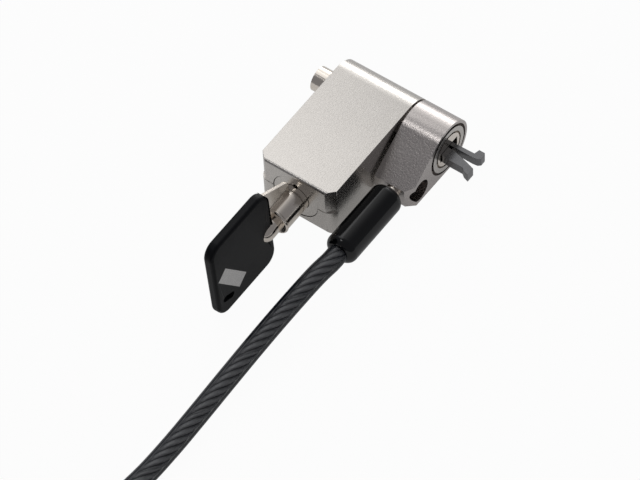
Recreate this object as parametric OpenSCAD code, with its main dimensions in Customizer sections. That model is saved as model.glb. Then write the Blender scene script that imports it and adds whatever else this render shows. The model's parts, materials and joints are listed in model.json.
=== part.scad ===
// Laptop cable lock: a two-shell lock body with a tubular key, a push button
// that closes a pair of slot hooks, a swivelling collar and a steel cable.
// Millimetres. The nose axis is X, pointing out of the lock, and the key is on
// the -Y side. Modules draw y as the distance toward the key, and keyward()
// lays that off along -Y. Cords are given in the part's own X, Y and Z.

/* [Lock body] */
// Length of the body along the nose axis
body_w = 21.4; // [20.6:0.1:23]
// Thickness of the body, and so the diameter of its barrel end
body_t = 15.6; // [15.2:0.1:17]
// Distance from the nose axis to the keyed face
body_reach = 31.6; // [31:0.1:34]
// Rounding of the long edges at the keyed face
edge_r = 0.8; // [0.4:0.1:1.5]
// Chamfer on the upright corners of the upper shell
corner_cut = 2.1; // [1:0.1:3]
// Rounding of the upright corners of the lower shell
corner_r = 2.6; // [1:0.1:4]
// Depth and half width of the parting groove between the shells
seam = 0.15; // [0.1:0.05:0.3]
// Diameter of the dowels between the shells
dowel_d = 1.6; // [1.2:0.1:2]
// Lean of the body about its nose as it lies on its key
lie_tilt = 3; // [2.5:0.1:3.5]

/* [Nose] */
// Diameter of the nose tube that the collar turns on
nose_d = 11.2; // [11:0.1:11.6]
// Wall of the nose tube
nose_wall = 0.6; // [0.5:0.05:0.8]
// Width of the rim that keeps the collar on
nose_rim = 0.7; // [0.5:0.1:0.9]
// Thickness of that rim
nose_rim_t = 1.5; // [1:0.1:1.7]
// Depth of the ring groove at the nose face
face_groove = 1.2; // [0.6:0.1:2]

/* [Collar] */
// Width of the collar along the nose
collar_w = 10.5; // [10.2:0.1:12]
// Gap between the collar and the body's wall
collar_gap = 0.6; // [0.3:0.1:0.8]
// Distance from the nose axis to the collar's end
collar_reach = 15.6; // [15.3:0.1:16.4]
// Slope of the collar's upper flank
collar_top_slope = 31; // [29:0.5:33]
// Slope of the collar's lower flank
collar_low_slope = 5; // [4:0.5:6]
// Chamfer of the collar's outer corner along the nose
collar_cut_x = 2; // [1:0.1:2.5]
// Chamfer of the collar's outer corner along its end
collar_cut_y = 1.8; // [1:0.1:2.5]
// Depth of the pocket for the nose rim
rim_pocket = 1.8; // [1.7:0.1:2.4]
// Diameter of the clip bore across the collar
cross_d = 6; // [5.6:0.1:6.2]
// Depth of the clip bore
cross_depth = 8.4; // [8:0.1:9]
// Distance of the clip bore from the nose axis
cross_y = 11.8; // [11.7:0.1:11.9]
// Height of the clip bore over the nose axis
cross_z = -2.9; // [-3:0.1:-2.8]

/* [Button and hooks] */
// Diameter of the push button
button_d = 6.5; // [6:0.1:7]
// Length of button outside the body
button_out = 5.5; // [4:0.1:7]
// Travel of the button
travel = 3; // [2.5:0.1:3]
// Diameter of the plunger rod
rod_d = 4.4; // [4:0.1:4.4]
// Thickness of the hooks
hook_t = 2.6; // [2.2:0.1:2.7]
// Distance of the hook pin behind the nose face
pin_back = 2.2; // [2.1:0.1:2.4]
// Diameter of the hook pin
hook_pin_d = 1.8; // [1.6:0.1:1.9]
// Diameter of the hook carrier's face
carrier_d = 9; // [8.6:0.1:9.2]

/* [Lock cylinder and key] */
// Distance of the lock axis from the body's outer end
lock_in = 10.7; // [10.4:0.1:10.9]
// Outer diameter of the lock cylinder
cyl_d = 12.9; // [12.5:0.1:13]
// Diameter of the key tube
tube_d = 7.44; // [7.3:0.02:7.6]
// Bore of the key tube
tube_bore = 5.2; // [5:0.1:5.3]
// Length of key tube outside the keyed face
tube_out = 8.3; // [7:0.1:10]
// Depth that the key goes in
key_in = 6.3; // [5.6:0.1:6.6]
// Number of pins round the cylinder
pin_count = 7; // [5:1:8]
// Diameter of the lock pins
pin_d = 1.2; // [1:0.1:1.2]
// Width of the key bow across the lock axis
bow_w = 24.9; // [23:0.1:27]
// Length of the key bow along the lock axis
bow_l = 22; // [21:0.1:26]
// Thickness of the key bow
bow_t = 2.7; // [2.4:0.1:3]
// Corner radius of the key bow
bow_r = 3.6; // [3:0.1:4.5]
// Height of the bow's middle over the lock axis
bow_up = 2.2; // [2:0.1:2.8]
// Lean of the bow about the lock axis
bow_lean = 3; // [0:1:12]
// Thickness of the steel blade
blade_t = 1; // [0.8:0.1:1.2]
// Length of the inlay on the bow
inlay_l = 11.2; // [9:0.1:12]
// Width of the inlay
inlay_w = 3.8; // [3:0.1:5]

/* [Cable] */
// Diameter of the covered steel cable
cable_d = 5.2; // [4.8:0.1:5.4]
// Diameter of the moulded sleeve
sleeve_d = 8.3; // [8:0.1:8.6]
// Length of the moulded sleeve
sleeve_l = 21.1; // [20.5:0.1:24]
// Bare length of stud between collar and sleeve
stud_out = 1; // [0.8:0.1:1.6]
// Diameter of the swivel stud
stud_d = 3.6; // [3.2:0.1:3.7]
// Diameter of the crimped ferrule
ferrule_d = 6.4; // [6.2:0.1:6.8]
// Outer radius of the coil's turns at their middle line
coil_r = 33; // [31:0.5:34]
// Turns in the coil
coil_turns = 7.5; // [6.5:1:7.5]
// Space between neighbouring turns
coil_gap = 0.5; // [0.5:0.1:0.8]
// Length of the eye at the cable's end
eye_l = 28; // [24:1:32]
// Width of the eye at the cable's end, at its middle line
eye_w = 19; // [16:1:22]

/* [Hidden] */
$fn = 64;
fit = 0.05; // radial clearance of a running fit
play = 0.3; // clearance between bodies that turn or slide past each other
over = 1; // extra length of a cut past a face

// lock body
body_r = body_t / 2;
collar_back = 0.1;
body_x1 = -(collar_back + collar_w + collar_gap);
body_x0 = body_x1 - body_w;
lock_x = body_x0 + lock_in;
floor_z = -body_r;
dowel_h = 11;
dowel_x = [body_x1 - 2.2, body_x0 + 2.2];
dowel_y = [8.6, body_reach - 4.6];

// nose and hook carrier
nose_r = nose_d / 2;
seat_r = nose_r - nose_wall;
carrier_r = carrier_d / 2;
carrier_l = 9;
web_l = 3.5; // wall behind the carrier
slot_w = 7;
slot_t = hook_t + play;
tail_room = 2.4; // slot behind the hooks' tails

// collar
collar_r = body_t / 2;
collar_bore_r = nose_r + 0.1;
rim_r = nose_r + nose_rim;
pocket_r = rim_r + 0.7;
stud_x = -(collar_back + collar_w / 2);
stud_z = -3.4;
stud_tilt = 4; // rise of the cable's end as it leaves the collar
stud_r = stud_d / 2;
clip_r = 2.2;
clip_t = 0.6;
spot_r = clip_r + 0.15;
spot_y = collar_reach - 1.1;
clip_y = spot_y - 0.3 - clip_t;
stud_tip = clip_y - 0.8;
clip_neck_r = stud_r - 0.5;

// plunger
button_r = button_d / 2;
rod_r = rod_d / 2;
wall_t = 1.8;
flange_r = 4.3;
flange_t = 1.2;
flange_x = body_x0 + wall_t + fit;
flange_room = flange_r + play;
flange_end = flange_x + flange_t + travel + play;
tip_r = 0.3;
knuckle_r = 1.75; // half of a hook that turns on the pin
tip_x = -pin_back - knuckle_r - travel - 0.3;
wedge_slope = 0.3;
wedge_l = (rod_r - tip_r) / wedge_slope;
thrust_r = 3.4;
thrust_t = 1;
thrust_x = lock_x + 1.4;
spring_end = -(carrier_l + web_l);
spring_room = thrust_r + play;
spring_wire = 0.6;
spring_turns = 5;
spring_l = spring_end - thrust_x - thrust_t;
stop_w = 2.4; // stop on the rod that the cam pin blocks
stop_l = 1.6;
stop_h = 4;
stop_x = lock_x - 3.8 - stop_l;

// lock cylinder, all along the lock axis
cyl_r = cyl_d / 2;
face_gap = 0.15;
cyl_head_l = 2.5;
tube_r = tube_d / 2;
key_way_r = tube_r + 0.12;
post_r = tube_bore / 2 - 0.15;
pin_r = pin_d / 2;
pin_hole_r = pin_r + fit;
pitch_r = (tube_r + tube_bore / 2) / 2;
cyl_y1 = body_reach - face_gap;
key_end = body_reach - key_in;
way_end = key_end - 0.3;
shear_y = way_end - 5.5;
chamber_l = 7.2;
chamber_y = shear_y - chamber_l;
plug_r = pitch_r + pin_hole_r + 0.8;
shaft_r = 1.9;
cam_t = 1.8;
cam_y = chamber_y - fit - cam_t;
cam_r = 3.7;
cam_pin_r = 1;
cam_throw = 2.6;
cam_tip = rod_r + 1;
cam_room = cam_throw + cam_pin_r + play;
screw_r = 1.3;
screw_core = 0.7;
screw_l = 4;
nib_w = 1.1;
nib_h = 0.6;
nib_l = 2;
cuts = [0.9, 0.4, 1.2, 0.6, 1, 0.3, 0.8, 0.5]; // depth of each key cut
drive_l = 2.6;
drive_spring_l = 3.2;

// key
tube_end = body_reach + tube_out;
tube_deep = key_in + 2;
stem_r = 2.1;
stem_in = 3;
bow_y0 = tube_end + 2.5;
stem_end = bow_y0 + 4;
blade_y0 = body_reach + 2.4;
blade_low = stem_r - 0.1;
blade_z0 = 8.8;
blade_z1 = 13.7;
blade_in = 6;
inlay_t = 0.3;
inlay_pos = [bow_y0 + 16, -0.5];
inlay_turn = 53;
ring_slot = [4.2, 1.8];
ring_pos = [bow_y0 + 18.2, -5.5];
ring_turn = 21;

// cable
cable_r = cable_d / 2;
sleeve_r = sleeve_d / 2;
sleeve_y0 = collar_reach + stud_out;
sleeve_y1 = sleeve_y0 + sleeve_l;
sleeve_round = 2;
ferrule_r = ferrule_d / 2;
ferrule_y0 = sleeve_y0 + 2.4;
ferrule_y1 = sleeve_y1 - 3;
stud_root = ferrule_y0 + 3.4;
cable_y0 = stud_root + 1;
rest_z = floor_z + cable_r;
coil_at = [-1, -167];
coil_pitch = cable_d + coil_gap;
coil_layers = 4;
layer_turns = coil_turns / coil_layers;
coil_x0 = coil_at.x - coil_r;
// a point on the stud's axis, so far from the nose axis
function stud_point(y) = [
  stud_x,
  stud_z * sin(stud_tilt) - y * cos(stud_tilt),
  stud_z * cos(stud_tilt) + y * sin(stud_tilt)
];
stud_way = [0, -cos(stud_tilt), sin(stud_tilt)];
// free stretch, from inside the ferrule to the coil
cable_route = [
  stud_point(cable_y0),
  stud_point(sleeve_y1 - 5),
  stud_point(sleeve_y1),
  stud_point(sleeve_y1 + 3),
  [-5.95, -46, -0.5],
  [-6.6, -57, -0.9],
  [-7.2, -68, -1.8],
  [-7.7, -79, -2.9],
  [-8.1, -90, -3.9],
  [-8.5, -100, -4.6],
  [-9.3, -110, -5.05],
  [-11.2, -120, rest_z],
  [-15.2, -130, rest_z],
  [-21.0, -139, rest_z],
  [-27.4, -148, rest_z],
  [-32.2, -157, rest_z],
  [coil_x0, coil_at.y + cable_d, rest_z]
];
cable_sides = 10;
coil_sides = 6;
loop_rings = 24;
end_r = 21; // bend of the tail that lies on the coil
end_w = 2 * cable_d + 2.5;
end_t = cable_d + 2.2;
end_l = 18;
end_rise = cable_r + end_t / 2 + 0.2;
eye_leg = cable_r + 0.15;
tail_turn = 0.25;
coil_top = rest_z + (coil_layers - 1) * coil_pitch;
tail_r = coil_r + tail_turn * coil_pitch;
end_at = [coil_at.x - end_r, coil_at.y + tail_r - end_r - cable_d];

silver = [0.80, 0.79, 0.77];
dark_steel = [0.36, 0.36, 0.37];
bright = [0.74, 0.72, 0.69];
black = [0.06, 0.06, 0.065];

// ---------- helpers ----------
module bar_x(r, x0, x1) {
  translate([x0, 0, 0])
    rotate([0, 90, 0])
      cylinder(r = r, h = x1 - x0);
}

module bar_y(r, y0, y1) {
  translate([0, y0, 0])
    rotate([-90, 0, 0])
      cylinder(r = r, h = y1 - y0);
}

// prism along X from a shape drawn as (y, z)
module prism_x(x0, x1) {
  translate([x0, 0, 0])
    rotate([90, 0, 90])
      linear_extrude(x1 - x0)
        children();
}

// lays off distances toward the key along -Y
module keyward() {
  mirror([0, 1, 0])
    children();
}

// the body group lies on the desk leaning about the nose axis
module lying() {
  keyward()
    rotate([lie_tilt, 0, 0])
      children();
}

module at_lock() {
  translate([lock_x, 0, 0])
    children();
}

module at_stud() {
  rotate([stud_tilt, 0, 0])
    translate([stud_x, 0, stud_z])
      children();
}

module at_hooks() {
  translate([-pin_back, 0, 0])
    children();
}

// places its child at each of the lock pins, y along the axis
module pin_ring() {
  for (i = [0:pin_count - 1])
    rotate([0, (i + 0.5) * 360 / pin_count, 0])
      translate([0, 0, pitch_r])
        children();
}

// helical wire along X with flat ends
module wire_spring(r, wire, turns, length) {
  steps = 12;
  n = turns * steps;
  for (i = [0:n - 1])
    hull() {
      for (k = [i, i + 1])
        translate([wire / 2 + (length - wire) * k / n, 0, 0])
          rotate([k * 360 / steps, 0, 0])
            translate([0, r, 0])
              sphere(r = wire / 2, $fn = 6);
    }
}

// ---------- cord functions ----------
function unit(v) = v / norm(v);
function smooth(t) = t * t * (3 - 2 * t);
function spline(a, b, c, d, t) =
  0.5 * (2 * b + (c - a) * t + (2 * a - 5 * b + 4 * c - d) * t * t
  + (3 * b - a - 3 * c + d) * t * t * t);
// a smooth line through the points, with n steps in each span
function through(p, n) = [
  for (i = [0:len(p) - 2])
    for (k = [0:n - 1])
      spline(p[max(i - 1, 0)], p[i], p[i + 1], p[min(i + 2, len(p) - 1)], k / n),
  p[len(p) - 1]
];
function heading(p, i) = unit(p[min(i + 1, len(p) - 1)] - p[max(i - 1, 0)]);
function ring(c, t, r, sides) =
  let (side = unit(cross(t, [0, 0, 1])), up = cross(side, t))
  [for (k = [0:sides - 1])
    c + r * (cos(k * 360 / sides) * side + sin(k * 360 / sides) * up)];

// one closed tube along a line; first and last are the headings of its ends
module tube(p, r, sides, first, last) {
  n = len(p);
  points = [
    for (i = [0:n - 1])
      each ring(p[i], i == 0 ? first : i == n - 1 ? last : heading(p, i), r, sides)
  ];
  skin = [
    for (i = [0:n - 2])
      for (k = [0:sides - 1])
        let (a = i * sides + k, b = i * sides + (k + 1) % sides)
        each [[a, b, a + sides], [b, b + sides, a + sides]]
  ];
  caps = [
    for (k = [1:sides - 2])
      each [[0, k + 1, k], (n - 1) * sides * [1, 1, 1] + [0, k, k + 1]]
  ];
  polyhedron(points = points, faces = [for (f = concat(skin, caps)) [f[0], f[2], f[1]]]);
}

// radius and height of the coil after u turns: in and out, one layer up at each end
function coil_radius(u) =
  let (w = u / layer_turns, k = floor(w) % 2, f = (w - floor(w)) * layer_turns)
  coil_r - coil_pitch * (k == 0 ? f : layer_turns - f);
function coil_height(u) =
  let (w = u / layer_turns, j = min(max(round(w), 1), coil_layers - 1))
  let (t = (u - j * layer_turns) / 0.5 + 0.5)
  rest_z + coil_pitch * (j - 1 + smooth(min(max(t, 0), 1)));
function coil_point(r, u, z) =
  [coil_at.x + r * cos(180 + 360 * u), coil_at.y + r * sin(180 + 360 * u), z];
function tail_height(s) = coil_top + end_rise * smooth(s);
tail_a = 2 * PI * coil_r * tail_turn;
tail_b = PI / 2 * end_r;
tail_all = tail_a + tail_b;
coil_line = concat(
  [[coil_x0, coil_at.y + cable_d, rest_z]],
  [
    for (k = [0:coil_turns * loop_rings])
      let (u = k / loop_rings)
      coil_point(coil_radius(u), u, coil_height(u))
  ],
  [
    for (k = [1:loop_rings * tail_turn])
      let (u = k / loop_rings, s = tail_a * u / tail_turn / tail_all)
      coil_point(coil_r + coil_pitch * u, coil_turns + u, tail_height(s))
  ],
  [
    for (k = [1:5])
      let (a = 90 * k / 5, s = (tail_a + tail_b * k / 5) / tail_all)
      [coil_at.x - end_r * sin(a), coil_at.y + tail_r - end_r * (1 - cos(a)), tail_height(s)]
  ],
  [[end_at.x, end_at.y, coil_top + end_rise]]
);

// least gap of the coil to itself, with a check every third point
function away(i) = min([
  for (k = [i + 14:len(coil_line) - 1])
    norm(coil_line[i] - coil_line[k])
]);
coil_least = min([for (i = [0:3:len(coil_line) - 15]) away(i)]) - cable_d;
echo(coil_gap_to_itself = coil_least);
function length_of(p) = [for (i = [1:len(p) - 1]) norm(p[i] - p[i - 1])] * [for (i = [1:len(p) - 1]) 1];
echo(cable_length = length_of(through(cable_route, 2)) + length_of(coil_line));

// ---------- lock body ----------
module side_profile(in) {
  r = body_r - in;
  y1 = body_reach - in;
  circle(r = r);
  translate([0, -r])
    square([y1 - edge_r, 2 * r]);
  translate([0, -r + edge_r])
    square([y1, 2 * (r - edge_r)]);
  for (s = [-1, 1])
    translate([y1 - edge_r, s * (r - edge_r)])
      circle(r = edge_r);
}

module upper_plan() {
  polygon([
    [body_x0, -body_r - over],
    [body_x1, -body_r - over],
    [body_x1, body_reach - corner_cut],
    [body_x1 - corner_cut, body_reach],
    [body_x0 + corner_cut, body_reach],
    [body_x0, body_reach - corner_cut]
  ]);
}

module lower_plan() {
  translate([body_x0, -body_r - over])
    square([body_w, body_reach + body_r + over - corner_r]);
  translate([body_x0 + corner_r, -body_r - over])
    square([body_w - 2 * corner_r, body_reach + body_r + over]);
  for (x = [body_x0 + corner_r, body_x1 - corner_r])
    translate([x, body_reach - corner_r])
      circle(r = corner_r);
}

module nose_solid() {
  bar_x(nose_r, body_x1 - over, 0);
  bar_x(rim_r, -nose_rim_t, 0);
}

module body_cavity() {
  bar_x(button_r + fit * 2, body_x0 - over, body_x0 + over + wall_t);
  bar_x(flange_room, body_x0 + wall_t, flange_end);
  bar_x(rod_r + fit * 2, body_x0 + wall_t, -carrier_l + over);
  bar_x(spring_room, lock_x, spring_end);
  bar_x(seat_r, -carrier_l, over);
  translate([flange_end - over, 0, -stop_w / 2 - fit * 3])
    cube([stop_x + stop_l + travel + play - flange_end + over, stop_h + fit * 3, stop_w + fit * 6]);
  at_lock() {
    bar_y(cam_room, cam_tip - play, cam_y + over);
    bar_y(cyl_r, cam_y - play, body_reach + over);
  }
  for (x = dowel_x, y = dowel_y)
    translate([x, y, -dowel_h / 2])
      cylinder(d = dowel_d, h = dowel_h);
}

module seam_groove() {
  difference() {
    translate([body_x0 - over, -body_r - over, -seam])
      cube([body_w + 2 * over, body_r + body_reach + 2 * over, 2 * seam]);
    translate([body_x0 + seam, -body_r + seam, -over])
      cube([body_w + over, body_r + body_reach - 2 * seam, 2 * over]);
  }
}

module upper_shell() {
  color(silver)
    lying()
      difference() {
        union() {
          intersection() {
            prism_x(body_x0, body_x1)
              side_profile(0);
            linear_extrude(body_t)
              upper_plan();
          }
          intersection() {
            nose_solid();
            translate([body_x0, -body_r, 0])
              cube([body_w - body_x1, 2 * body_r, body_t]);
          }
        }
        body_cavity();
        seam_groove();
      }
}

module lower_shell() {
  color(silver)
    lying()
      difference() {
        union() {
          intersection() {
            prism_x(body_x0, body_x1)
              side_profile(0);
            translate([0, 0, -body_t])
              linear_extrude(body_t)
                lower_plan();
          }
          intersection() {
            nose_solid();
            translate([body_x0, -body_r, -body_t])
              cube([body_w - body_x1, 2 * body_r, body_t]);
          }
        }
        body_cavity();
        seam_groove();
      }
}

module shell_dowels() {
  color(dark_steel)
    lying()
      for (x = dowel_x, y = dowel_y)
        translate([x, y, -dowel_h / 2])
          cylinder(d = dowel_d, h = dowel_h);
}

// ---------- hooks ----------
module hook_carrier() {
  color(dark_steel)
    lying()
      difference() {
        union() {
          bar_x(seat_r, -carrier_l, -face_groove);
          bar_x(carrier_r, -carrier_l, 0);
        }
        translate([-pin_back - 4 - tail_room, -slot_w / 2, -slot_t / 2])
          cube([pin_back + 4 + tail_room + over, slot_w, slot_t]);
        bar_x(rod_r + fit * 2, -carrier_l - over, -pin_back - 4 - tail_room + over);
        at_hooks()
          cylinder(d = hook_pin_d, h = 2 * seat_r, center = true);
      }
}

module hook_pin() {
  h = 2 * sqrt(carrier_r * carrier_r - pow(hook_pin_d / 2, 2)) - 0.6;
  color(bright)
    lying()
      at_hooks()
        cylinder(d = hook_pin_d, h = h, center = true);
}

// knuckle is the half of the hook on the pin; its arm and tail are full thickness
module hook(outline, up) {
  clear_r = knuckle_r + 0.3;
  difference() {
    union() {
      difference() {
        translate([0, 0, -hook_t / 2])
          linear_extrude(hook_t)
            polygon(outline);
        at_hooks()
          translate([0, 0, up > 0 ? -hook_t : -fit / 2])
            cylinder(r = clear_r, h = hook_t + fit / 2);
      }
      at_hooks()
        translate([0, 0, up > 0 ? fit / 2 : -hook_t / 2])
          cylinder(r = knuckle_r, h = (hook_t - fit) / 2);
      translate([0, 0, up > 0 ? fit / 2 : -hook_t / 2])
        linear_extrude((hook_t - fit) / 2)
          polygon(outline);
    }
    at_hooks()
      cylinder(r = hook_pin_d / 2 + fit, h = 2 * hook_t, center = true);
  }
}

hook_a_line = [
  [-6.6, -2.3], [-3.4, -1.75], [-1.2, -1.45], [0, -1.6], [3, -1.6], [6.2, -1.7],
  [6.6, -3.15], [8.2, -3.15], [8.5, -2.6], [8.5, -1.2], [7.8, -0.6], [6.5, -0.45],
  [0, -0.45], [-3.4, -0.45], [-6.6, -1.25]
];
hook_b_line = [
  [-6.6, 1.7], [-3.4, 1.75], [-1.2, 1.45], [0, 3.1], [2.5, 3.35], [6.2, 3.35],
  [7.2, 4.1], [8.5, 4.5], [8.5, 2.2], [6.3, 1.5], [2.5, 0.55], [0, 0.25],
  [-3.4, 0.45], [-6.6, 0.5]
];

module hook_a() {
  color(dark_steel)
    lying()
      hook(hook_a_line, -1);
}

module hook_b() {
  color(dark_steel)
    lying()
      hook(hook_b_line, 1);
}

// ---------- plunger ----------
module plunger() {
  color(bright)
    lying() {
      bar_x(button_r, body_x0 - button_out, flange_x);
      bar_x(flange_r, flange_x, flange_x + flange_t);
      bar_x(rod_r, flange_x, tip_x - wedge_l);
      bar_x(thrust_r, thrust_x, thrust_x + thrust_t);
      translate([tip_x - wedge_l, 0, 0])
        rotate([0, 90, 0])
          cylinder(r1 = rod_r, r2 = tip_r, h = wedge_l);
      translate([stop_x, 0, -stop_w / 2])
        cube([stop_l, stop_h, stop_w]);
    }
}

module plunger_spring() {
  color(bright)
    lying()
      translate([thrust_x + thrust_t, 0, 0])
        wire_spring(rod_r + 0.2 + spring_wire / 2, spring_wire, spring_turns, spring_l);
}

// ---------- lock cylinder ----------
module lock_barrel() {
  color(silver)
    lying()
      at_lock()
        difference() {
          union() {
            bar_y(cyl_r, shear_y, cyl_y1 - cyl_head_l);
            bar_y(cyl_r - 0.15, shear_y, cyl_y1);
          }
          bar_y(key_way_r, shear_y - over, cyl_y1 + over);
          bar_y(plug_r + fit, shear_y - over, way_end);
          bar_y(tube_r + nib_h + 0.15, way_end - over, way_end + nib_l + 1);
          for (a = [0, -90])
            rotate([0, a, 0])
              translate([-nib_w / 2 - 0.15, way_end, 0])
                cube([nib_w + 0.3, cyl_y1 - way_end + over, tube_r + nib_h + 0.15]);
        }
}

module tumbler_rotor() {
  color(bright)
    lying()
      at_lock()
        difference() {
          union() {
            bar_y(post_r, shear_y, cyl_y1 - 0.2);
            bar_y(plug_r, shear_y + fit, way_end);
            bar_y(shaft_r, cam_y + cam_t, way_end);
          }
          pin_ring()
            bar_y(pin_hole_r, shear_y - over, way_end + over);
          bar_y(screw_core, cam_y - over, cam_y + cam_t + screw_l);
        }
}

module key_pins() {
  color([0.72, 0.60, 0.34])
    lying()
      at_lock()
        for (i = [0:pin_count - 1])
          rotate([0, (i + 0.5) * 360 / pin_count, 0])
            translate([0, 0, pitch_r])
              bar_y(pin_r, shear_y + fit, key_end + cuts[i] - fit);
}

module pin_chamber() {
  color(silver)
    lying()
      at_lock()
        difference() {
          bar_y(cyl_r, chamber_y, shear_y);
          bar_y(shaft_r + fit, chamber_y - over, shear_y + over);
          pin_ring()
            bar_y(pin_hole_r, shear_y - drive_l - drive_spring_l, shear_y + over);
        }
}

module driver_pins() {
  color(bright)
    lying()
      at_lock()
        pin_ring()
          bar_y(pin_r, shear_y - drive_l, shear_y);
}

module driver_springs() {
  color(bright)
    lying()
      at_lock()
        pin_ring()
          difference() {
            bar_y(pin_r - 0.05, shear_y - drive_l - drive_spring_l, shear_y - drive_l);
            bar_y(pin_r - 0.3, shear_y - drive_l - drive_spring_l - over, shear_y);
          }
}

module lock_cam() {
  color(dark_steel)
    lying()
      at_lock()
        difference() {
          union() {
            bar_y(cam_r, cam_y, cam_y + cam_t);
            translate([0, 0, cam_throw])
              bar_y(cam_pin_r, cam_tip, cam_y);
          }
          bar_y(screw_core, cam_y - over, cam_y + cam_t + over);
        }
}

module cam_screw() {
  color(dark_steel)
    lying()
      at_lock()
        difference() {
          union() {
            bar_y(screw_core, cam_y, cam_y + cam_t + screw_l - 0.2);
            bar_y(screw_r, cam_y - 1, cam_y);
          }
          translate([-screw_r, cam_y - 1 - over, -0.2])
            cube([2 * screw_r, over + 0.5, 0.4]);
        }
}

// ---------- key ----------
module leaning() {
  rotate([0, -bow_lean, 0])
    children();
}

// slab along the key, drawn as (y, z)
module key_slab(t) {
  translate([-t / 2, 0, 0])
    prism_x(0, t)
      children();
}

module blade_profile() {
  polygon([
    [blade_y0, blade_low],
    [blade_y0, blade_z0 - 0.8],
    [blade_y0 + 0.8, blade_z0],
    [bow_y0 + 2, blade_z1],
    [bow_y0 + blade_in, blade_z1],
    [bow_y0 + blade_in, blade_low]
  ]);
}

module key_tube() {
  color(bright)
    lying()
      at_lock()
        difference() {
          union() {
            bar_y(tube_r, key_end, tube_end);
            translate([-nib_w / 2, key_end + 0.3, tube_bore / 2 + 0.4])
              cube([nib_w, nib_l, tube_r + nib_h - tube_bore / 2 - 0.4]);
          }
          bar_y(tube_bore / 2, key_end - over, key_end + tube_deep);
          bar_y(stem_r, tube_end - stem_in, tube_end + over);
          for (i = [0:pin_count - 1])
            rotate([0, (i + 0.5) * 360 / pin_count, 0])
              translate([0, 0, pitch_r])
                bar_y(pin_r + fit, key_end - over, key_end + cuts[i]);
          leaning()
            key_slab(blade_t)
              blade_profile();
        }
}

module key_stem() {
  color(bright)
    lying()
      at_lock()
        difference() {
          union() {
            bar_y(stem_r, tube_end - stem_in, stem_end - stem_r);
            translate([0, stem_end - stem_r, 0])
              sphere(r = stem_r);
          }
          leaning()
            key_slab(blade_t)
              blade_profile();
        }
}

module key_blade() {
  color(silver)
    lying()
      at_lock()
        leaning()
          key_slab(blade_t)
            blade_profile();
}

module bow_outline() {
  z0 = bow_up - bow_w / 2;
  translate([bow_y0 + bow_r, z0])
    square([bow_l - 2 * bow_r, bow_w]);
  translate([bow_y0, z0 + bow_r])
    square([bow_l, bow_w - 2 * bow_r]);
  for (y = [bow_y0 + bow_r, bow_y0 + bow_l - bow_r], z = [z0 + bow_r, z0 + bow_w - bow_r])
    translate([y, z])
      circle(r = bow_r);
}

module inlay_solid(depth) {
  translate([bow_t / 2 - inlay_t, inlay_pos.x, inlay_pos.y])
    rotate([inlay_turn, 0, 0])
      translate([0, -inlay_l / 2, -inlay_w / 2])
        cube([depth, inlay_l, inlay_w]);
}

module key_bow() {
  color(black)
    lying()
      at_lock()
        difference() {
          leaning()
            difference() {
              key_slab(bow_t)
                bow_outline();
              key_slab(blade_t)
                blade_profile();
              inlay_solid(inlay_t + over);
              translate([0, ring_pos.x, ring_pos.y])
                rotate([ring_turn, 0, 0])
                  key_slab(bow_t + 2 * over) {
                    square([ring_slot.x - ring_slot.y, ring_slot.y], center = true);
                    for (s = [-1, 1])
                      translate([s * (ring_slot.x - ring_slot.y) / 2, 0])
                        circle(d = ring_slot.y);
                  }
            }
          bar_y(stem_r, bow_y0 - over, stem_end - stem_r);
          translate([0, stem_end - stem_r, 0])
            sphere(r = stem_r);
        }
}

module bow_inlay() {
  color(silver)
    lying()
      at_lock()
        leaning()
          inlay_solid(inlay_t);
}

// ---------- collar and cable end ----------
// the arm that carries the cable, with flanks that meet the round part smoothly
module arm_profile() {
  a = collar_top_slope;
  b = collar_low_slope;
  top = collar_r * [sin(a), cos(a)];
  low = collar_r * [sin(b), -cos(b)];
  top_z = top.y - (collar_reach - top.x) * tan(a);
  low_z = low.y + (collar_reach - low.x) * tan(b);
  in = 0.997; // the flanks start just inside the round part, so that they cut it cleanly
  polygon([[0, 0], top * in, [collar_reach, top_z], [collar_reach, low_z], low * in]);
}

module collar() {
  x0 = -collar_back - collar_w;
  x1 = -collar_back;
  color([0.62, 0.60, 0.58])
    keyward()
      difference() {
        union() {
          bar_x(collar_r, x0, x1);
          prism_x(x0, x1)
            arm_profile();
        }
        bar_x(collar_bore_r, x0 - over, x1 + over);
        bar_x(pocket_r, x1 - rim_pocket, x1 + over);
        translate([0, cross_y, cross_z])
          bar_x(cross_d / 2, x1 - cross_depth, x1 + over);
        at_stud() {
          bar_y(stud_r + fit, cross_y, collar_reach + over);
          bar_y(spot_r, cross_y - cross_d / 4, spot_y);
        }
        translate([0, 0, -collar_r])
          linear_extrude(2 * collar_r)
            polygon([
              [x1 - collar_cut_x, collar_reach],
              [x1 - collar_cut_x, collar_reach + over],
              [x1 + over, collar_reach + over],
              [x1 + over, collar_reach - collar_cut_y],
              [x1, collar_reach - collar_cut_y]
            ]);
      }
}

module cable_stud() {
  color(bright)
    keyward()
      at_stud() {
        bar_y(stud_r, stud_tip, clip_y);
        bar_y(clip_neck_r, stud_tip, clip_y + clip_t + over);
        bar_y(stud_r, clip_y + clip_t, stud_root);
      }
}

module stud_clip() {
  color(dark_steel)
    keyward()
      at_stud()
        difference() {
          bar_y(clip_r, clip_y, clip_y + clip_t);
          bar_y(clip_neck_r, clip_y - over, clip_y + clip_t + over);
          translate([0, clip_y - over, -clip_neck_r * 0.8])
            cube([clip_r + over, clip_t + 2 * over, clip_neck_r * 1.6]);
        }
}

module cable_ferrule() {
  color(bright)
    keyward()
      at_stud()
        difference() {
          bar_y(ferrule_r, ferrule_y0, ferrule_y1);
          bar_y(stud_r, ferrule_y0 - over, stud_root);
          bar_y(cable_r, cable_y0, ferrule_y1 + over);
        }
}

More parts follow.
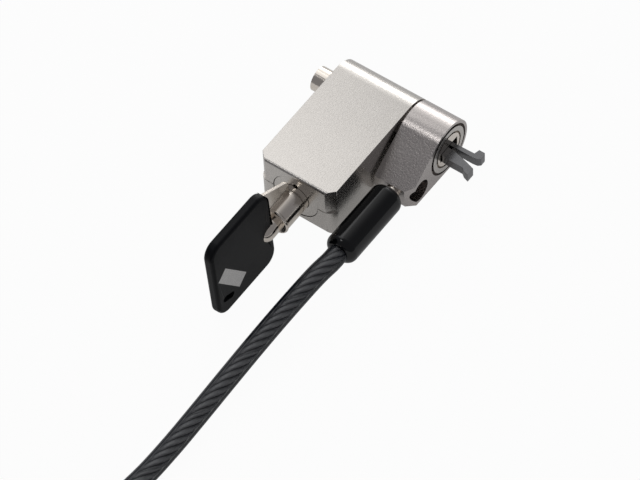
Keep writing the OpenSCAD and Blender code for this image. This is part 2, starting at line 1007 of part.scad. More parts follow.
module cable_sleeve() {
  r = sleeve_r;
  c = sleeve_round;
  color(black)
    keyward()
      at_stud()
        difference() {
          translate([0, sleeve_y0, 0])
            rotate([-90, 0, 0])
              rotate_extrude() {
                square([r - c, sleeve_l]);
                translate([0, c])
                  square([r, sleeve_l - 2 * c]);
                for (y = [c, sleeve_l - c])
                  translate([r - c, y])
                    circle(r = c);
              }
          bar_y(stud_r, sleeve_y0 - over, ferrule_y0 + over);
          bar_y(ferrule_r, ferrule_y0, ferrule_y1);
          bar_y(cable_r, ferrule_y1 - over, sleeve_y1 + over);
        }
}

// ---------- cable ----------
module cable() {
  color(black)
    tube(through(cable_route, 2), cable_r, cable_sides, stud_way, [0, -1, 0]);
}

module cable_coil() {
  color(black)
    tube(coil_line, cable_r, coil_sides, [0, -1, 0], [0, -1, 0]);
}

module at_end() {
  translate([end_at.x - eye_leg, end_at.y, coil_top + end_rise])
    keyward()
      children();
}

module end_sleeve() {
  in = 3;
  w = end_w - end_t;
  color(bright)
    at_end()
      difference() {
        translate([0, end_l - in, 0])
          rotate([90, 0, 0])
            linear_extrude(end_l) {
              square([w, end_t], center = true);
              for (s = [-1, 1])
                translate([s * w / 2, 0])
                  circle(d = end_t);
            }
        translate([eye_leg, 0, 0])
          bar_y(cable_r, -in - over, 0);
        for (s = [-1, 1])
          translate([s * eye_leg, 0, 0])
            bar_y(cable_r, end_l - 2 * in, end_l + over);
      }
}

// half width of the eye at a share t of its way round
function eye_x(t) = eye_leg * cos(180 * t) + (eye_w / 2 - eye_leg) * sin(360 * t) * (1 + 0.25 * cos(360 * t));
function eye_y(t) = eye_l / 2 * (1 - cos(360 * t));

module end_loop() {
  in = 3;
  y0 = end_l - in;
  n = 28;
  line = concat(
    [[eye_leg, y0 - in, 0], [eye_leg, y0, 0]],
    [for (k = [1:n - 1]) [eye_x(k / n), y0 + cable_d / 2 + (eye_l - cable_d) * sin(180 * k / n), 0]],
    [[-eye_leg, y0, 0], [-eye_leg, y0 - in, 0]]
  );
  color(black)
    at_end()
      tube(line, cable_r, 8, [0, 1, 0], [0, -1, 0]);
}

upper_shell();
lower_shell();
shell_dowels();
hook_carrier();
hook_pin();
hook_a();
hook_b();
plunger();
plunger_spring();
lock_barrel();
tumbler_rotor();
key_pins();
pin_chamber();
driver_pins();
driver_springs();
lock_cam();
cam_screw();
key_tube();
key_stem();
key_blade();
key_bow();
bow_inlay();
collar();
cable_stud();
stud_clip();
cable_ferrule();
cable_sleeve();
cable();
cable_coil();
end_sleeve();
end_loop();
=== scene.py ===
import json
import math

import bmesh
import bpy
import numpy as np
from mathutils import Matrix, Vector

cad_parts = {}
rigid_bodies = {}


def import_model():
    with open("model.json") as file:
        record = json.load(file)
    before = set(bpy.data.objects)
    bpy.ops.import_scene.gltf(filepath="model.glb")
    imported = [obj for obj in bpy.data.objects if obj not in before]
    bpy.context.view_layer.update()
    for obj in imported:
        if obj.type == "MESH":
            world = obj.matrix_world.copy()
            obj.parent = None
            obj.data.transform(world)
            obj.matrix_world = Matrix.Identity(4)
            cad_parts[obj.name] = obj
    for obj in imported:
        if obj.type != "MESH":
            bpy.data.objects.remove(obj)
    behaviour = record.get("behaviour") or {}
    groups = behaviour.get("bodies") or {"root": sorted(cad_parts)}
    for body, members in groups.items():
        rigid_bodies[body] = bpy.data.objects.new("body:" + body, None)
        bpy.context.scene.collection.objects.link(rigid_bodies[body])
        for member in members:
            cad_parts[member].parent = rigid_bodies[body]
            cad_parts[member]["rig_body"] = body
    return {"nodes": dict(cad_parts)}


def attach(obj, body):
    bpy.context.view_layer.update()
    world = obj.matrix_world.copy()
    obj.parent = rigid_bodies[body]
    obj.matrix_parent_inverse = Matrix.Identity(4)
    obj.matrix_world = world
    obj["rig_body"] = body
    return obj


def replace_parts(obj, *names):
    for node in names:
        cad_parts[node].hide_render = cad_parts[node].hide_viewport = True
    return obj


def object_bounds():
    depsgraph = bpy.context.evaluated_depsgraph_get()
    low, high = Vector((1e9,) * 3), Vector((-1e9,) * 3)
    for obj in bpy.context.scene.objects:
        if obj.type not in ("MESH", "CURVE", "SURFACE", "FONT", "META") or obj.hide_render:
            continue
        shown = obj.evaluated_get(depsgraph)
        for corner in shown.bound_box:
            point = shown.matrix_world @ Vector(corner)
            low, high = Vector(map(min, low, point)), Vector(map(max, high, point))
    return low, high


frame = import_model()
cad_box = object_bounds()
nodes = frame["nodes"]
MM = 0.001

# ---------- camera ----------
AIM = np.array([-12.256, -35.722, -3.578]) * MM
RIGHT = np.array([0.8114, 0.5808, -0.0654])
BACK = np.array([0.3624, -0.4122, 0.8359])
STAND_OFF = 0.9
FOCAL = 215.76


def add_camera():
    """A long lens that looks down along -BACK at the aim point, with RIGHT level in its frame."""
    back = BACK / np.linalg.norm(BACK)
    right = RIGHT - back * np.dot(RIGHT, back)
    right /= np.linalg.norm(right)
    up = np.cross(back, right)
    camera = bpy.data.objects.new("camera", bpy.data.cameras.new("camera"))
    bpy.context.scene.collection.objects.link(camera)
    axes = Matrix([Vector(right), Vector(up), Vector(back)]).transposed().to_4x4()
    camera.matrix_world = Matrix.Translation(Vector(AIM + STAND_OFF * back)) @ axes
    camera.data.sensor_width = 36
    camera.data.lens = FOCAL
    camera.data.clip_start, camera.data.clip_end = 0.01, 20
    bpy.context.scene.camera = camera


# ---------- shader maths ----------
class Value:
    """A number that varies over a surface. Sums, products and powers of it add Math nodes."""

    def __init__(self, finish, socket):
        self.finish, self.socket = finish, socket

    def _math(self, operation, *terms):
        node = self.finish.node("ShaderNodeMath", {"operation": operation}, dict(enumerate(terms)))
        return Value(self.finish, node.outputs[0])

    def __add__(self, other):
        return self._math("ADD", self, other)

    def __sub__(self, other):
        return self._math("SUBTRACT", self, other)

    def __mul__(self, other):
        return self._math("MULTIPLY", self, other)

    def __pow__(self, other):
        return self._math("POWER", self, other)

    __radd__, __rmul__ = __add__, __mul__

    def limited(self, low, high):
        """The value held between low and high."""
        above = self._math("MAXIMUM", self, low)
        return self._math("MINIMUM", above, high)

    def step(self, start, end):
        """0 below start, 1 above end, and straight between them."""
        return ((self - start) * (1 / (end - start))).limited(0.0, 1.0)

    def cosine(self):
        return self._math("COSINE", self)


class Finish:
    """One material or world, with the few kinds of node that the finishes here are made of."""

    def __init__(self, name, kind="Material", place="Object"):
        collection = bpy.data.worlds if kind == "World" else bpy.data.materials
        self.made = collection.new(name)
        self.made.use_nodes = True
        self.tree = self.made.node_tree
        self.tree.nodes.clear()
        self.output = self.node("ShaderNodeOutput" + kind, {}, {})
        self.at = self.node("ShaderNodeTexCoord", {}, {}).outputs[place]

    def node(self, kind, settings, inputs):
        """A node of that kind: its settings first, then the numbers, colours or links of its sockets."""
        made = self.tree.nodes.new(kind)
        for name, value in settings.items():
            setattr(made, name, value)
        for name, value in inputs.items():
            if isinstance(value, Value):
                value = value.socket
            if isinstance(value, bpy.types.NodeSocket):
                self.tree.links.new(value, made.inputs[name])
            else:
                made.inputs[name].default_value = value
        return made

    def stretched(self, scale):
        """Coordinates scaled along each axis, for a grain that runs one way."""
        return self.node(
            "ShaderNodeMapping",
            {"vector_type": "TEXTURE"},
            {"Vector": self.at, "Scale": tuple(1 / s for s in scale)},
        ).outputs[0]

    def along(self, direction):
        """How far a point lies in a direction: the dot product of its place with it."""
        sockets = {0: self.at, 1: direction}
        made = self.node("ShaderNodeVectorMath", {"operation": "DOT_PRODUCT"}, sockets)
        return Value(self, made.outputs["Value"])

    def noise(self, scale, detail=2.0, roughness=0.5, at=None):
        """Fractal noise from 0 to 1 with about `scale` lumps a metre."""
        made = self.node(
            "ShaderNodeTexNoise",
            {},
            {"Vector": at or self.at, "Scale": scale, "Detail": detail, "Roughness": roughness},
        )
        return Value(self, made.outputs["Fac"])

    def mix(self, factor, a, b):
        """A colour that goes from a to b as the factor goes from 0 to 1."""
        made = self.node("ShaderNodeMix", {"data_type": "RGBA"}, {0: factor})
        for socket, colour in ((made.inputs[6], a), (made.inputs[7], b)):
            if isinstance(colour, bpy.types.NodeSocket):
                self.tree.links.new(colour, socket)
            else:
                socket.default_value = (*colour, 1)
        return made.outputs[2]

    def bump(self, height, depth):
        """A bump whose height value of 1 stands `depth` metres proud."""
        return self.node("ShaderNodeBump", {}, {"Height": height, "Distance": depth}).outputs[0]

    def shade(self, **inputs):
        """The Principled surface; underscores in a socket's name stand for spaces."""
        named = {name.replace("_", " "): value for name, value in inputs.items()}
        surface = self.node("ShaderNodeBsdfPrincipled", {}, named)
        self.tree.links.new(surface.outputs[0], self.output.inputs["Surface"])
        return self.made


# ---------- finishes ----------
def toned(colour, share):
    """The colour made darker or lighter by a share."""
    return tuple(c * share for c in colour)


def plated_casting(name, colour, dark, roughness):
    """Nickel over a zinc casting: a fine blasted grain and soft clouding."""
    f = Finish(name)
    speck = f.noise(2300, 2.5, 0.6)
    cloud = f.noise(90, 3.0, 0.55)
    base = f.mix((speck * 0.75 + cloud * 0.35).limited(0.0, 1.0), dark, colour)
    rough = speck * 0.10 + cloud * 0.06 + (roughness - 0.08)
    return f.shade(
        Base_Color=base,
        Metallic=1.0,
        Roughness=rough,
        Normal=f.bump(speck, 0.000034),
    )


def polished_nickel(name, colour, roughness):
    """Bright plate over turned steel: faint turning rings, fine wipe marks and a warm cast."""
    f = Finish(name)
    rings = f.noise(900, 1.5, 0.5, at=f.stretched((1, 14, 1)))
    smear = f.noise(260, 3.0, 0.6)
    base = f.mix(smear * 0.8, toned(colour, 0.86), colour)
    return f.shade(
        Base_Color=base,
        Metallic=1.0,
        Roughness=smear * 0.12 + rings * 0.05 + (roughness - 0.07),
        Normal=f.bump(rings, 0.000004),
    )


def brushed_steel(name, colour, stretch, roughness):
    """Stamped steel: hairlines that run along the part, with darker worn lines."""
    f = Finish(name)
    hair = f.noise(700, 3.0, 0.65, at=f.stretched(stretch))
    cloud = f.noise(200, 2.0, 0.5)
    base = f.mix((hair * 0.8 + cloud * 0.3).limited(0.0, 1.0), toned(colour, 0.72), colour)
    return f.shade(
        Base_Color=base,
        Metallic=1.0,
        Roughness=hair * 0.16 + (roughness - 0.06),
        Normal=f.bump(hair, 0.000008),
    )


def turned_metal(name, colour, roughness):
    """Small turned pieces inside the lock: fine rings and a light film of oil."""
    f = Finish(name)
    rings = f.noise(1500, 2.0, 0.5, at=f.stretched((1, 9, 1)))
    film = f.noise(400, 2.0, 0.5)
    base = f.mix(film * 0.9, toned(colour, 0.7), colour)
    return f.shade(
        Base_Color=base,
        Metallic=1.0,
        Roughness=film * 0.2 + (roughness - 0.1),
        Normal=f.bump(rings, 0.000005),
    )


def moulded_black(name, colour, roughness, grain, depth, gloss):
    """Black moulded plastic: a spark-eroded grain and faint flow marks."""
    f = Finish(name)
    pit = f.noise(grain, 2.0, 0.6)
    flow = f.noise(120, 3.0, 0.6)
    marks = (pit * 0.5 + flow * 0.5).limited(0.0, 1.0)
    base = f.mix(marks, toned(colour, 0.55), toned(colour, 1.5))
    return f.shade(
        Base_Color=base,
        Roughness=flow * 0.10 + pit * 0.06 + (roughness - 0.08),
        Specular_IOR_Level=gloss,
        Normal=f.bump(pit, depth),
    )


def smoked_cover(name):
    """The clear smoked skin of the cable: see-through where seen squarely, darker to its sides."""
    f = Finish(name)
    scuff = f.noise(500, 2.0, 0.6)
    edge = Value(f, f.node("ShaderNodeLayerWeight", {}, {"Blend": 0.42}).outputs["Facing"])
    return f.shade(
        Base_Color=f.mix(scuff, (0.007, 0.009, 0.014), (0.012, 0.015, 0.022)),
        Roughness=scuff * 0.12 + 0.16,
        Specular_IOR_Level=0.3,
        Alpha=(edge ** 0.9 * 2.1 + 0.08).limited(0.0, 1.0),
        Normal=f.bump(scuff, 0.000006),
    )


def laid_strands(name):
    """Steel rope with painted shade: light on strand crowns, dark in the lays and between the wires."""
    f = Finish(name)
    crown = Value(f, f.node("ShaderNodeAttribute", {"attribute_name": "crown"}, {}).outputs["Fac"])
    wire = Value(f, f.node("ShaderNodeAttribute", {"attribute_name": "wire"}, {}).outputs["Fac"])
    wires = wire.cosine() * 0.5 + 0.5
    speck = f.noise(1500, 2.0, 0.6)
    # painted shade: the crown mask darkens the lays between strands and the wire stripes darken the
    # grooves between wires; the speckle is random tone
    light = (crown * (wires * 0.45 + 0.55) * (speck * 0.5 + 0.75)).limited(0.0, 1.0)
    return f.shade(
        Base_Color=f.mix(light, (0.03, 0.032, 0.035), (0.74, 0.75, 0.76)),
        Metallic=0.5,
        Roughness=speck * 0.15 + 0.32,
        Normal=f.bump(wires, 0.00004),
    )


FINISHES = {
    "satin_nickel": plated_casting("satin_nickel", (0.70, 0.67, 0.635), (0.46, 0.44, 0.415), 0.27),
    "collar_metal": plated_casting("collar_metal", (0.62, 0.58, 0.56), (0.42, 0.39, 0.375), 0.28),
    "dark_metal": brushed_steel("dark_metal", (0.21, 0.21, 0.215), (1, 8, 1), 0.22),
    "bright_metal": polished_nickel("bright_metal", (0.90, 0.83, 0.75), 0.13),
    "brushed_blade": brushed_steel("brushed_blade", (0.66, 0.65, 0.64), (8, 1, 8), 0.25),
    "brass_pins": turned_metal("brass_pins", (0.70, 0.53, 0.26), 0.3),
    "black_moulding": moulded_black(
        "black_moulding", (0.0045, 0.0052, 0.0066), 0.40, grain=2200, depth=0.00003, gloss=0.14
    ),
    "gloss_moulding": moulded_black(
        "gloss_moulding", (0.0022, 0.0026, 0.0034), 0.12, grain=1800, depth=0.000003, gloss=0.42
    ),
    "smoked_sheath": smoked_cover("smoked_sheath"),
}
STRANDS = laid_strands("laid_strands")

# ---------- the cable ----------
FLOOR = float(cad_box[0][2])
CABLE_R = 2.6
ROPE_R = 1.85
LAY = 18.0
STRAND_COUNT = 6
STRAND_SIDES = 6
STRAND_DEPTH = 0.20
WIRES, WIRE_LAY = 5, 1.15
SHEATH_SIDES = 24
SHEATH_STEP, ROPE_STEP, PATH_STEP = 1.6, 1.1, 3.0
REST_Z = -5.2
COIL_AT = np.array([-1.0, -167.0])
COIL_R = 33.0
PITCH = 5.7
LAYERS = 4
TURNS = 7.5
RINGS = 24
LAYER_TURNS = TURNS / LAYERS
COIL_TOP = REST_Z + (LAYERS - 1) * PITCH
TAIL_TURN = 0.25
TAIL_R = COIL_R + TAIL_TURN * PITCH
END_R = 21.0
END_T, END_L = 2 * CABLE_R + 2.2, 18.0
END_RISE = CABLE_R + END_T / 2 + 0.2
EYE_LEG = CABLE_R + 0.15
EYE_L, EYE_W = 28.0, 19.0
END_AT = np.array([COIL_AT[0] - END_R, COIL_AT[1] + TAIL_R - END_R - 2 * CABLE_R])
STUD_X, STUD_Z, STUD_TILT = -5.35, -3.4, math.radians(4)
SLEEVE_END = 37.7
CABLE_START = 23.4


def stud_point(y):
    """A point on the cable end's axis, y from the nose axis: the axis lies STUD_Z low and is turned
    by STUD_TILT about the nose axis."""
    c, s = math.cos(STUD_TILT), math.sin(STUD_TILT)
    return [STUD_X, STUD_Z * s - y * c, STUD_Z * c + y * s]


ROUTE = [
    stud_point(CABLE_START),
    stud_point(SLEEVE_END - 5),
    stud_point(SLEEVE_END),
    stud_point(SLEEVE_END + 3),
    [-5.95, -46, -0.5],
    [-6.6, -57, -0.9],
    [-7.2, -68, -1.8],
    [-7.7, -79, -2.9],
    [-8.1, -90, -3.9],
    [-8.5, -100, -4.6],
    [-9.3, -110, -5.05],
    [-11.2, -120, REST_Z],
    [-15.2, -130, REST_Z],
    [-21.0, -139, REST_Z],
    [-27.4, -148, REST_Z],
    [-32.2, -157, REST_Z],
    [COIL_AT[0] - COIL_R, COIL_AT[1] + 2 * CABLE_R, REST_Z],
]


def eased(t):
    """A step from 0 to 1 that starts and ends level."""
    t = np.clip(t, 0, 1)
    return t * t * (3 - 2 * t)


def through(points, steps):
    """A smooth line through the points: on each span a cubic whose slope at a point is half the
    chord of its neighbours."""
    p = np.asarray(points, float)
    q = np.vstack([p[:1], p, p[-1:]])
    t = np.linspace(0, 1, steps, endpoint=False)[None, :, None]
    a, b, c, d = (q[i : i + len(p) - 1][:, None] for i in range(4))
    line = 0.5 * (
        2 * b
        + (c - a) * t
        + (2 * a - 5 * b + 4 * c - d) * t**2
        + (3 * b - a - 3 * c + d) * t**3
    )
    return np.vstack([line.reshape(-1, 3), p[-1:]])


def coil_line():
    """The coil's middle line: the radius runs in and out by one pitch a turn, and the height steps
    one layer up at each end."""
    u = np.arange(int(TURNS * RINGS) + 1) / RINGS
    lap = u / LAYER_TURNS
    part = (lap - np.floor(lap)) * LAYER_TURNS
    radius = COIL_R - PITCH * np.where(np.floor(lap) % 2 == 0, part, LAYER_TURNS - part)
    step = np.clip(np.floor(lap + 0.5), 1, LAYERS - 1)
    height = REST_Z + PITCH * (step - 1 + eased((u - step * LAYER_TURNS) / 0.5 + 0.5))
    v = np.arange(1, int(RINGS * TAIL_TURN) + 1) / RINGS
    tail_a, tail_b = 2 * math.pi * COIL_R * TAIL_TURN, math.pi / 2 * END_R
    s = tail_a * v / TAIL_TURN / (tail_a + tail_b)
    turn = 2 * math.pi * np.concatenate([u, TURNS + v]) + math.pi
    radius = np.concatenate([radius, COIL_R + PITCH * v])
    height = np.concatenate([height, COIL_TOP + END_RISE * eased(s)])
    loops = np.stack(
        [COIL_AT[0] + radius * np.cos(turn), COIL_AT[1] + radius * np.sin(turn), height], 1
    )
    k = np.arange(1, 6) / 5
    a = k * math.pi / 2
    bend = np.stack(
        [
            COIL_AT[0] - END_R * np.sin(a),
            COIL_AT[1] + TAIL_R - END_R * (1 - np.cos(a)),
            COIL_TOP + END_RISE * eased((tail_a + tail_b * k) / (tail_a + tail_b)),
        ],
        1,
    )
    return np.vstack([loops, bend, [[*END_AT, COIL_TOP + END_RISE]]])


def eye_line():
    """The eye at the cable's far end: a leg out, a drop-shaped loop and a leg back, at one height."""
    inset = 3.0
    y0 = END_L - inset
    k = np.arange(1, 28) / 28
    x = EYE_LEG * np.cos(math.pi * k) + (EYE_W / 2 - EYE_LEG) * np.sin(2 * math.pi * k) * (
        1 + 0.25 * np.cos(2 * math.pi * k)
    )
    y = y0 + CABLE_R + (EYE_L - 2 * CABLE_R) * np.sin(math.pi * k)
    drop = np.stack([x, y, np.zeros_like(x)], 1)
    legs = np.array([[EYE_LEG, y0 - inset, 0], [EYE_LEG, y0, 0]])
    line = np.vstack([legs, drop, legs[::-1] * [-1, 1, 1]])
    return np.array([END_AT[0] - EYE_LEG, END_AT[1], COIL_TOP + END_RISE]) + line * [1, -1, 1]


def even(line, step):
    """The line in points about one step apart, and the distance of each from its start."""
    run = np.concatenate([[0], np.cumsum(np.linalg.norm(np.diff(line, axis=0), axis=1))])
    s = np.linspace(0, run[-1], int(run[-1] / step) + 1)
    return np.stack([np.interp(s, run, line[:, i]) for i in range(3)], 1), s


def skin(line, profile, turn):
    """A closed profile carried along a line. Point (i, k) is line i, plus the side vector times the
    profile's radius times cos(angle), plus the upright vector times the radius times sin(angle),
    where the angle is the profile's plus turn i."""
    heading = np.gradient(line, axis=0)
    heading /= np.linalg.norm(heading, axis=1)[:, None]
    side = np.cross(heading, [0, 0, 1])
    side /= np.linalg.norm(side, axis=1)[:, None]
    up = np.cross(side, heading)
    radius, angle = profile
    a = angle[None, :] + turn[:, None]
    ring = np.cos(a)[..., None] * side[:, None] + np.sin(a)[..., None] * up[:, None]
    return line[:, None] + np.broadcast_to(radius, a.shape)[..., None] * ring


def grid_mesh(name, points, attributes=(), finish=None, body="cable_end"):
    """A piece from a closed grid of points, rings by sides, in millimetres, with a cap at each end."""
    rings, sides = points.shape[:2]
    mesh = bpy.data.meshes.new(name)
    at = np.arange(rings * sides).reshape(rings, sides)
    beside = np.roll(at, -1, 1)
    quads = np.stack([at[:-1], at[1:], beside[1:], beside[:-1]], -1).reshape(-1, 4)
    corners = np.concatenate([quads.ravel(), at[0], at[-1][::-1]]).astype(np.int32)
    starts = np.concatenate([np.arange(len(quads)) * 4, len(quads) * 4 + np.array([0, sides])])
    mesh.vertices.add(rings * sides)
    mesh.vertices.foreach_set("co", (points * MM).astype(np.float32).ravel())
    mesh.loops.add(len(corners))
    mesh.loops.foreach_set("vertex_index", corners)
    mesh.polygons.add(len(starts))
    mesh.polygons.foreach_set("loop_start", starts.astype(np.int32))
    mesh.update(calc_edges=True)
    mesh.shade_smooth()
    for label, values in attributes:
        layer = mesh.attributes.new(label, "FLOAT", "POINT")
        layer.data.foreach_set("value", values.astype(np.float32).ravel())
    piece = bpy.data.objects.new(name, mesh)
    bpy.context.scene.collection.objects.link(piece)
    mesh.materials.append(finish)
    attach(piece, body)
    return piece


def add_sheath(name, line):
    """The cable's round cover along a line."""
    points, s = even(line, SHEATH_STEP)
    angle = np.linspace(0, 2 * math.pi, SHEATH_SIDES, endpoint=False)
    grid = skin(points, (np.full(SHEATH_SIDES, CABLE_R), angle), np.zeros(len(s)))
    return grid_mesh(name, grid, finish=FINISHES["smoked_sheath"])


def add_rope(name, line):
    """The rope inside: its section is a circle of bulges, one for each strand, which turns once in
    every lay. Each strand shows WIRES wires that cross it."""
    points, s = even(line, ROPE_STEP)
    sides = STRAND_COUNT * STRAND_SIDES
    angle = np.linspace(0, 2 * math.pi, sides, endpoint=False)
    bulge = np.abs(np.cos(angle * STRAND_COUNT / 2))
    radius = ROPE_R * (1 - STRAND_DEPTH + STRAND_DEPTH * np.sqrt(bulge))
    turn = -2 * math.pi * s / LAY
    grid = skin(points, (radius, angle), turn)
    # crown is 1 on each strand's top and 0 in the lays; the rope's finish paints shade in the lays from
    # it, and between the wires from wire
    crown = np.repeat(bulge[None, :] ** 0.8, len(s), 0)
    wire = 2 * math.pi * s[:, None] / WIRE_LAY + WIRES * STRAND_COUNT * angle[None, :]
    return grid_mesh(name, grid, (("crown", crown), ("wire", wire)), STRANDS)


def add_cable():
    """The whole cable: the free stretch, the coil and the eye, each a cover over a laid rope."""
    free = through(ROUTE, 12)
    whole = np.vstack([free, through(coil_line(), 6)[1:]])
    loop = through(eye_line(), 3)
    sheath = add_sheath("cable_sheath", whole)
    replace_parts(sheath, "cable", "cable_coil")
    rope = add_rope("cable_rope", whole)
    eye = add_sheath("eye_sheath", loop)
    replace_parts(eye, "end_loop")
    eye_rope = add_rope("eye_rope", loop)


# ---------- the lock and its key ----------
MERGE = 2e-6
FLAT = math.radians(0.6)
SHARP = math.radians(35)
KEY_X = -21.9
KEY_AXIS = np.array([0, -0.99863, 0.05234])
KEY_SIDES = 48
STEM_R = 2.6
STEM_TIP = 0.02
TUBE_R = 3.72
LIP_R = 0.45


def corners_of(mesh):
    """The places of a mesh's points, in metres."""
    flat = np.empty(3 * len(mesh.vertices), np.float32)
    mesh.vertices.foreach_get("co", flat)
    return flat.reshape(-1, 3)


def rim_of(shape, middle):
    """The outer wall of a plate: the faces square to its broad sides that join up with the one
    furthest from the middle."""
    across = max(shape.faces, key=lambda face: face.calc_area()).normal
    walls = {face for face in shape.faces if abs(face.normal.dot(across)) < 0.5}
    fresh = {max(walls, key=lambda face: (face.calc_center_median() - middle).length)}
    rim = set()
    while fresh:
        rim |= fresh
        beside = {other for face in fresh for edge in face.edges for other in edge.link_faces}
        fresh = beside & walls - rim
    return rim


def softened(node, finish, width, rim_only=False):
    """A copy of a solid with its double points merged, its flat faces joined and its sharp edges
    rounded by `width` mm. On a plate it can round those of its outer wall alone."""
    source = nodes[node]
    mesh = source.data.copy()
    shape = bmesh.new()
    shape.from_mesh(mesh)
    weight = shape.edges.layers.float.new("bevel_weight_edge")
    bmesh.ops.remove_doubles(shape, verts=shape.verts, dist=MERGE)
    bmesh.ops.dissolve_limit(shape, angle_limit=FLAT, verts=shape.verts, edges=shape.edges)
    shape.normal_update()
    rounded = set(shape.edges)
    if rim_only:
        rim = rim_of(shape, Vector(corners_of(mesh).mean(axis=0)))
        rounded = {edge for face in rim for edge in face.edges}
        others = [face for face in shape.faces if face not in rim]
        bmesh.ops.triangulate(shape, faces=others, ngon_method="BEAUTY")
    for edge in rounded:
        if len(edge.link_faces) == 2 and edge.calc_face_angle() > SHARP:
            edge[weight] = 1.0
    shape.to_mesh(mesh)
    shape.free()
    piece = bpy.data.objects.new(node + "_finished", mesh)
    bpy.context.scene.collection.objects.link(piece)
    mesh.materials.clear()
    mesh.materials.append(finish)
    mesh.shade_smooth()
    mesh.set_sharp_from_angle(angle=SHARP)
    bevel = piece.modifiers.new("edges", "BEVEL")
    bevel.width = width * MM
    bevel.segments = 4 if rim_only else 2
    bevel.limit_method = "WEIGHT"
    bevel.use_clamp_overlap = not rim_only
    bevel.loop_slide = not rim_only
    flat = piece.modifiers.new("flat_faces", "WEIGHTED_NORMAL")
    flat.keep_sharp = True
    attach(piece, source["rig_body"])
    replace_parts(piece, node)
    return piece


def add_turned(name, node, along, radii):
    """A turned piece on the key's axis: at each distance along it a ring of that radius, both in
    millimetres. It goes with the node's body."""
    centre = np.array([KEY_X, 0, 0]) + np.outer(along, KEY_AXIS)
    angle = np.linspace(0, 2 * math.pi, KEY_SIDES, endpoint=False)
    grid = skin(centre, (radii[:, None], angle), np.zeros(len(radii)))
    slot = "bright_metal"
    return grid_mesh(name, grid, finish=FINISHES[slot], body=nodes[node]["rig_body"])


def add_key_shank():
    """The key's shank: a stem with a domed end on the bow, and the rolled lip at the tube's end.
    The stem's radius is STEM_R times the cosine of an angle that grows along the dome, and the
    lip's section is half a circle."""
    stem, tube = (corners_of(nodes[n].data) / MM @ KEY_AXIS for n in ("key_stem", "key_tube"))
    dome = np.linspace(0, math.pi / 2, 12)
    along = np.concatenate([[stem.min()], stem.max() - STEM_R * (1 - np.sin(dome))])
    radii = np.concatenate([[STEM_R], STEM_R * np.cos(dome) + STEM_TIP])
    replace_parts(add_turned("stem", "key_stem", along, radii), "key_stem")
    lip = np.linspace(-math.pi / 2, math.pi / 2, 10)
    along = tube.max() + LIP_R * np.sin(lip)
    add_turned("tube_lip", "key_tube", along, TUBE_R - LIP_R / 2 + LIP_R * np.cos(lip))


def dressed(node, finish):
    """A solid that stays as it is and gets its finish."""
    piece = nodes[node]
    piece.data.materials.clear()
    piece.data.materials.append(finish)


SOFTENED = {
    "upper_shell": ("satin_nickel", 0.35),
    "lower_shell": ("satin_nickel", 0.30),
    "collar": ("collar_metal", 0.30),
    "hook_carrier": ("bright_metal", 0.12),
    "hook_a": ("dark_metal", 0.12),
    "hook_b": ("dark_metal", 0.12),
    "plunger": ("bright_metal", 0.18),
    "lock_barrel": ("satin_nickel", 0.10),
    "key_blade": ("bright_metal", 0.12),
    "key_bow": ("black_moulding", 0.8),
}
DRESSED = {
    "shell_dowels": "dark_metal",
    "hook_pin": "bright_metal",
    "plunger_spring": "bright_metal",
    "tumbler_rotor": "bright_metal",
    "key_pins": "brass_pins",
    "pin_chamber": "satin_nickel",
    "driver_pins": "bright_metal",
    "driver_springs": "bright_metal",
    "lock_cam": "dark_metal",
    "cam_screw": "dark_metal",
    "key_tube": "bright_metal",
    "bow_inlay": "brushed_blade",
    "cable_stud": "bright_metal",
    "stud_clip": "dark_metal",
    "cable_ferrule": "bright_metal",
    "cable_sleeve": "gloss_moulding",
    "end_sleeve": "bright_metal",
}


# ---------- floor and light ----------
FLOOR_SEEN, FLOOR_MIRRORED, FLOOR_THROUGH = 0.96, 0.30, 0.93
FLOOR_HALF, FLOOR_DROP = 6.0, 0.0002
GLOW_FROM = (-0.35, 0.80, 0.49)
LIT_AT = (-0.015, -0.02, 0.0)


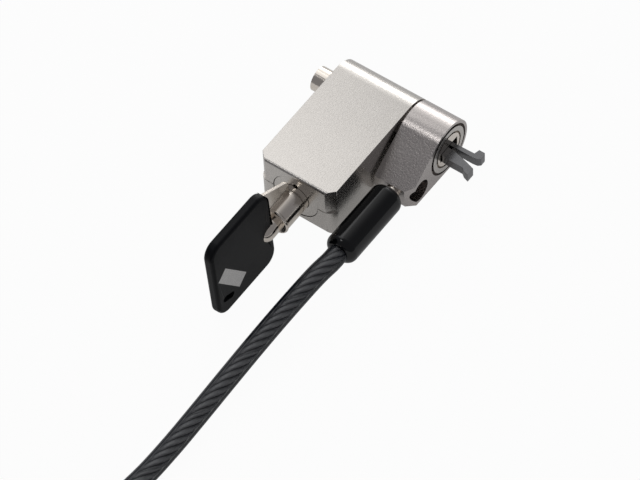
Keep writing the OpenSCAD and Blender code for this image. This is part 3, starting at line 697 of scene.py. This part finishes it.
def add_floor():
    """A wide plain pale sheet under the part. The camera sees it near white with a faint shadow,
    and metal mirrors it paler than it is lit, with more of the shadow."""
    f = Finish("studio_floor")
    rays = f.node("ShaderNodeLightPath", {}, {})
    seen = (
        Value(f, rays.outputs["Is Camera Ray"]) * FLOOR_SEEN
        + Value(f, rays.outputs["Is Glossy Ray"]) * FLOOR_MIRRORED
        + Value(f, rays.outputs["Is Transmission Ray"]) * FLOOR_THROUGH
    ).limited(0.0, FLOOR_SEEN)
    paper = f.noise(40, 2.0, 0.5)
    cloth = f.node(
        "ShaderNodeBsdfPrincipled",
        {},
        {"Base Color": f.mix(paper, (0.80, 0.80, 0.80), (0.83, 0.83, 0.83)), "Roughness": 0.9},
    )
    white = f.node("ShaderNodeEmission", {}, {"Color": (1, 1, 1, 1), "Strength": 1.0})
    both = f.node("ShaderNodeMixShader", {}, {0: seen, 1: cloth.outputs[0], 2: white.outputs[0]})
    f.tree.links.new(both.outputs[0], f.output.inputs["Surface"])
    mesh = bpy.data.meshes.new("floor")
    w, z = FLOOR_HALF, FLOOR - FLOOR_DROP
    mesh.from_pydata([(-w, -w, z), (w, -w, z), (w, w, z), (-w, w, z)], [], [(0, 1, 2, 3)])
    mesh.materials.append(f.made)
    floor = bpy.data.objects.new("floor", mesh)
    bpy.context.scene.collection.objects.link(floor)


def add_lamp(name, place, size, power):
    """A square soft lamp that faces the lock."""
    light = bpy.data.lights.new(name, "AREA")
    light.shape, light.size, light.energy = "SQUARE", size, power
    lamp = bpy.data.objects.new(name, light)
    bpy.context.scene.collection.objects.link(lamp)
    lamp.location = place
    lamp.rotation_mode = "QUATERNION"
    lamp.rotation_quaternion = (Vector(place) - Vector(LIT_AT)).to_track_quat("Z", "Y")
    lamp.visible_camera = False


def add_world():
    """A dim room, white to the camera, with a wide soft glow above and behind the lock's left side."""
    room = Finish("studio", "World", "Generated")
    bpy.context.scene.world = room.made
    glow = room.along(GLOW_FROM).step(0.30, 1.0)
    shade = room.mix(glow ** 5.0, (0.20, 0.20, 0.21), (1.3, 1.3, 1.3))
    camera_ray = room.node("ShaderNodeLightPath", {}, {}).outputs["Is Camera Ray"]
    colour = room.mix(camera_ray, shade, (1, 1, 1))
    lit = room.node("ShaderNodeBackground", {}, {"Color": colour, "Strength": 1.0})
    room.tree.links.new(lit.outputs[0], room.output.inputs["Surface"])


add_camera()
add_cable()
for node, (slot, width) in SOFTENED.items():
    softened(node, FINISHES[slot], width, rim_only=node == "key_bow")
for node, slot in DRESSED.items():
    dressed(node, FINISHES[slot])
add_key_shank()
add_floor()
add_world()
add_lamp("top_box", (-0.125, 0.05, 0.205), 0.12, 0.034)
add_lamp("back_box", (-0.30, 0.80, 0.24), 0.34, 0.8)
add_lamp("front_box", (-0.26, -0.26, 0.90), 0.16, 0.5)

bpy.context.scene.view_settings.view_transform = "Standard"
